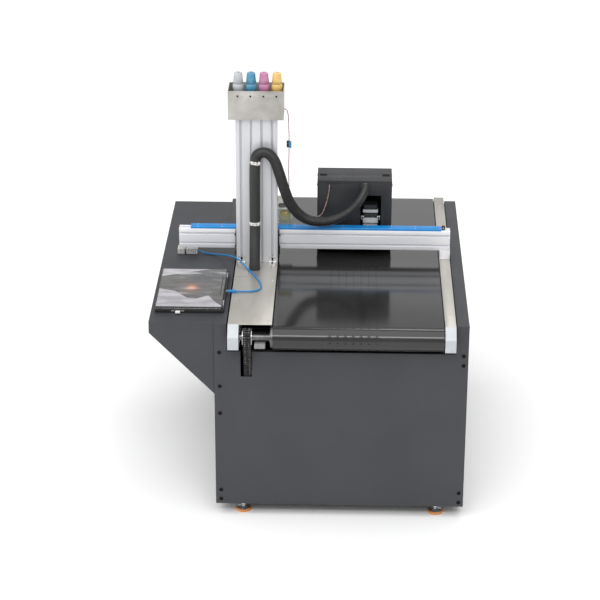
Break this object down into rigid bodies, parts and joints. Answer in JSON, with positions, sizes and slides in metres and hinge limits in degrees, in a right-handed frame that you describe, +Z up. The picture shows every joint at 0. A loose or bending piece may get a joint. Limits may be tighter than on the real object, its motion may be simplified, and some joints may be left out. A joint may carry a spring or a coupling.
{
  "type": "flatbed uv printer",
  "caption": "Belt-fed flatbed UV printer: sheet-metal cabinet with side console, conveyor belt, gantry beam, ink column, carriage hood and laptop.",
  "frame": {"origin": "on the floor, at the centre of the machine's plan outline", "axes": "+Z up, +Y to the rear along the belt, +X to the operator's right"},
  "size_m": [1.181, 1.4, 1.581],
  "materials": {
    "charcoal_powder_coat": "fine-textured powder coat, satin",
    "black_paint": "satin black paint",
    "anodised_aluminium": "satin clear anodised extrusion",
    "end_block_grey": "smooth pale grey paint",
    "stainless_sheet": "mill-finish stainless sheet",
    "belt_rubber": "smooth dark rubber belt, slightly glossy",
    "bright_steel": "turned and ground steel",
    "zinc_bracket": "bright zinc plate",
    "black_chain": "oiled black chain steel",
    "brass": "turned brass",
    "blue_cover": "blue film-covered strip",
    "blue_cable": "blue PVC",
    "black_plastic": "moulded black plastic",
    "black_sleeve": "braided black sleeve",
    "silver_plastic": "silver-grey plastic",
    "wire_red": "brown-red wire insulation",
    "ink_grey": "translucent bottle, pale grey ink",
    "ink_cyan": "translucent bottle, cyan ink",
    "ink_magenta": "translucent bottle, magenta ink",
    "ink_yellow": "translucent bottle, yellow ink",
    "orange_rubber": "orange-tan foot pad with bright metal top"
  },
  "bodies": {
    "machine": {"front_panel": "charcoal_powder_coat", "rear_panel": "charcoal_powder_coat", "left_wall": "charcoal_powder_coat", "right_wall": "charcoal_powder_coat", "base_pan": "charcoal_powder_coat", "console_shell": "charcoal_powder_coat", "front_cross_member": "black_paint", "rear_cross_member": "black_paint", "drive_motor": "black_paint", "column_adapter": "black_paint", "vacuum_table": "anodised_aluminium", "column": "anodised_aluminium", "gantry_beam": "anodised_aluminium", "left_beam_support": "anodised_aluminium", "right_beam_support": "anodised_aluminium", "left_rail": "end_block_grey", "right_rail": "end_block_grey", "left_plate": "stainless_sheet", "right_strip": "stainless_sheet", "ink_tray": "stainless_sheet", "conveyor_belt": "belt_rubber", "x_rail": "bright_steel", "x_motor": "zinc_bracket", "control_box": "zinc_bracket", "drive_chain": "black_chain", "belt_cover": "blue_cover", "usb_cable": "blue_cable", "usb_plug": "blue_cable", "power_inlet": "black_plastic", "vacuum_blower": "black_plastic", "laptop_base": "black_plastic", "wire_connector": "black_plastic", "hose": "black_sleeve", "usb_hub": "silver_plastic", "usb_dongle": "silver_plastic", "upper_wire": "wire_red", "lower_wire": "wire_red", "foot_1": "orange_rubber", "foot_2": "orange_rubber", "foot_3": "orange_rubber", "foot_4": "orange_rubber"},
    "front_roller": {"front_roller": "bright_steel", "roller_sprocket": "bright_steel"},
    "rear_roller": {"rear_roller": "bright_steel"},
    "motor_sprocket": {"motor_sprocket": "bright_steel"},
    "carriage": {"slider_plate": "bright_steel", "z_motor": "black_paint", "hood": "black_paint", "hose_gland": "black_plastic"},
    "print_unit": {"print_head": "bright_steel", "uv_lamp": "anodised_aluminium"},
    "lead_screw": {"lead_screw": "bright_steel"},
    "hood_lid": {"hood_lid": "black_paint"},
    "x_pulley": {"x_pulley": "brass"},
    "idler_pulley": {"idler_pulley": "black_plastic"},
    "laptop_lid": {"laptop_lid": "black_plastic"},
    "bottle_grey": {"ink_bottle_grey": "ink_grey"},
    "bottle_cyan": {"ink_bottle_cyan": "ink_cyan"},
    "bottle_magenta": {"ink_bottle_magenta": "ink_magenta"},
    "bottle_yellow": {"ink_bottle_yellow": "ink_yellow"}
  },
  "joints": [
    {"name": "belt_drive", "type": "hinge", "parent": "machine", "child": "front_roller", "pos_m": [0, -0.655, 0.762], "axis": [1, 0, 0], "continuous": true},
    {"name": "rear_roller_spin", "type": "hinge", "parent": "machine", "child": "rear_roller", "pos_m": [0, 0.655, 0.762], "axis": [1, 0, 0], "continuous": true},
    {"name": "motor_sprocket_spin", "type": "hinge", "parent": "machine", "child": "motor_sprocket", "pos_m": [-0.2255, -0.557, 0.505], "axis": [1, 0, 0], "continuous": true},
    {"name": "carriage_slide", "type": "slide", "parent": "machine", "child": "carriage", "axis": [1, 0, 0], "range_m": [-0.09, 0.187], "deforming": ["hose", "lower_wire"]},
    {"name": "head_lift", "type": "slide", "parent": "carriage", "child": "print_unit", "axis": [0, 0, 1], "range_m": [0, 0.045]},
    {"name": "lead_screw_spin", "type": "hinge", "parent": "carriage", "child": "lead_screw", "pos_m": [0.227, 0.103, 0.87], "axis": [0, 0, 1], "range_deg": [-10, 2040]},
    {"name": "hood_lid_hinge", "type": "hinge", "parent": "carriage", "child": "hood_lid", "pos_m": [0.1635, 0.206, 1.107], "axis": [-1, 0, 0], "range_deg": [0, 100]},
    {"name": "x_pulley_spin", "type": "hinge", "parent": "machine", "child": "x_pulley", "pos_m": [-0.109, 0.038, 0.966], "axis": [0, 1, 0], "range_deg": [-270, 555]},
    {"name": "idler_pulley_spin", "type": "hinge", "parent": "machine", "child": "idler_pulley", "pos_m": [0.5125, 0, 0.9408], "axis": [0, 1, 0], "range_deg": [-690, 1430]},
    {"name": "laptop_lid_hinge", "type": "hinge", "parent": "machine", "child": "laptop_lid", "pos_m": [-0.324, -0.361, 0.8303], "axis": [0, 1, 0], "range_deg": [0, 130]},
    {"name": "bottle_grey_lift", "type": "slide", "parent": "machine", "child": "bottle_grey", "axis": [0, 0, 1], "range_m": [0, 0.12]},
    {"name": "bottle_cyan_lift", "type": "slide", "parent": "machine", "child": "bottle_cyan", "axis": [0, 0, 1], "range_m": [0, 0.12]},
    {"name": "bottle_magenta_lift", "type": "slide", "parent": "machine", "child": "bottle_magenta", "axis": [0, 0, 1], "range_m": [0, 0.12]},
    {"name": "bottle_yellow_lift", "type": "slide", "parent": "machine", "child": "bottle_yellow", "axis": [0, 0, 1], "range_m": [0, 0.12]}
  ],
  "couplings": [
    {"joint": "rear_roller_spin", "follows": "belt_drive", "ratio": 1},
    {"joint": "motor_sprocket_spin", "follows": "belt_drive", "ratio": 1},
    {"joint": "x_pulley_spin", "follows": "carriage_slide", "rad_per_m": 51.282},
    {"joint": "idler_pulley_spin", "follows": "carriage_slide", "rad_per_m": 133.33},
    {"joint": "lead_screw_spin", "follows": "head_lift", "rad_per_m": 785.4}
  ]
}
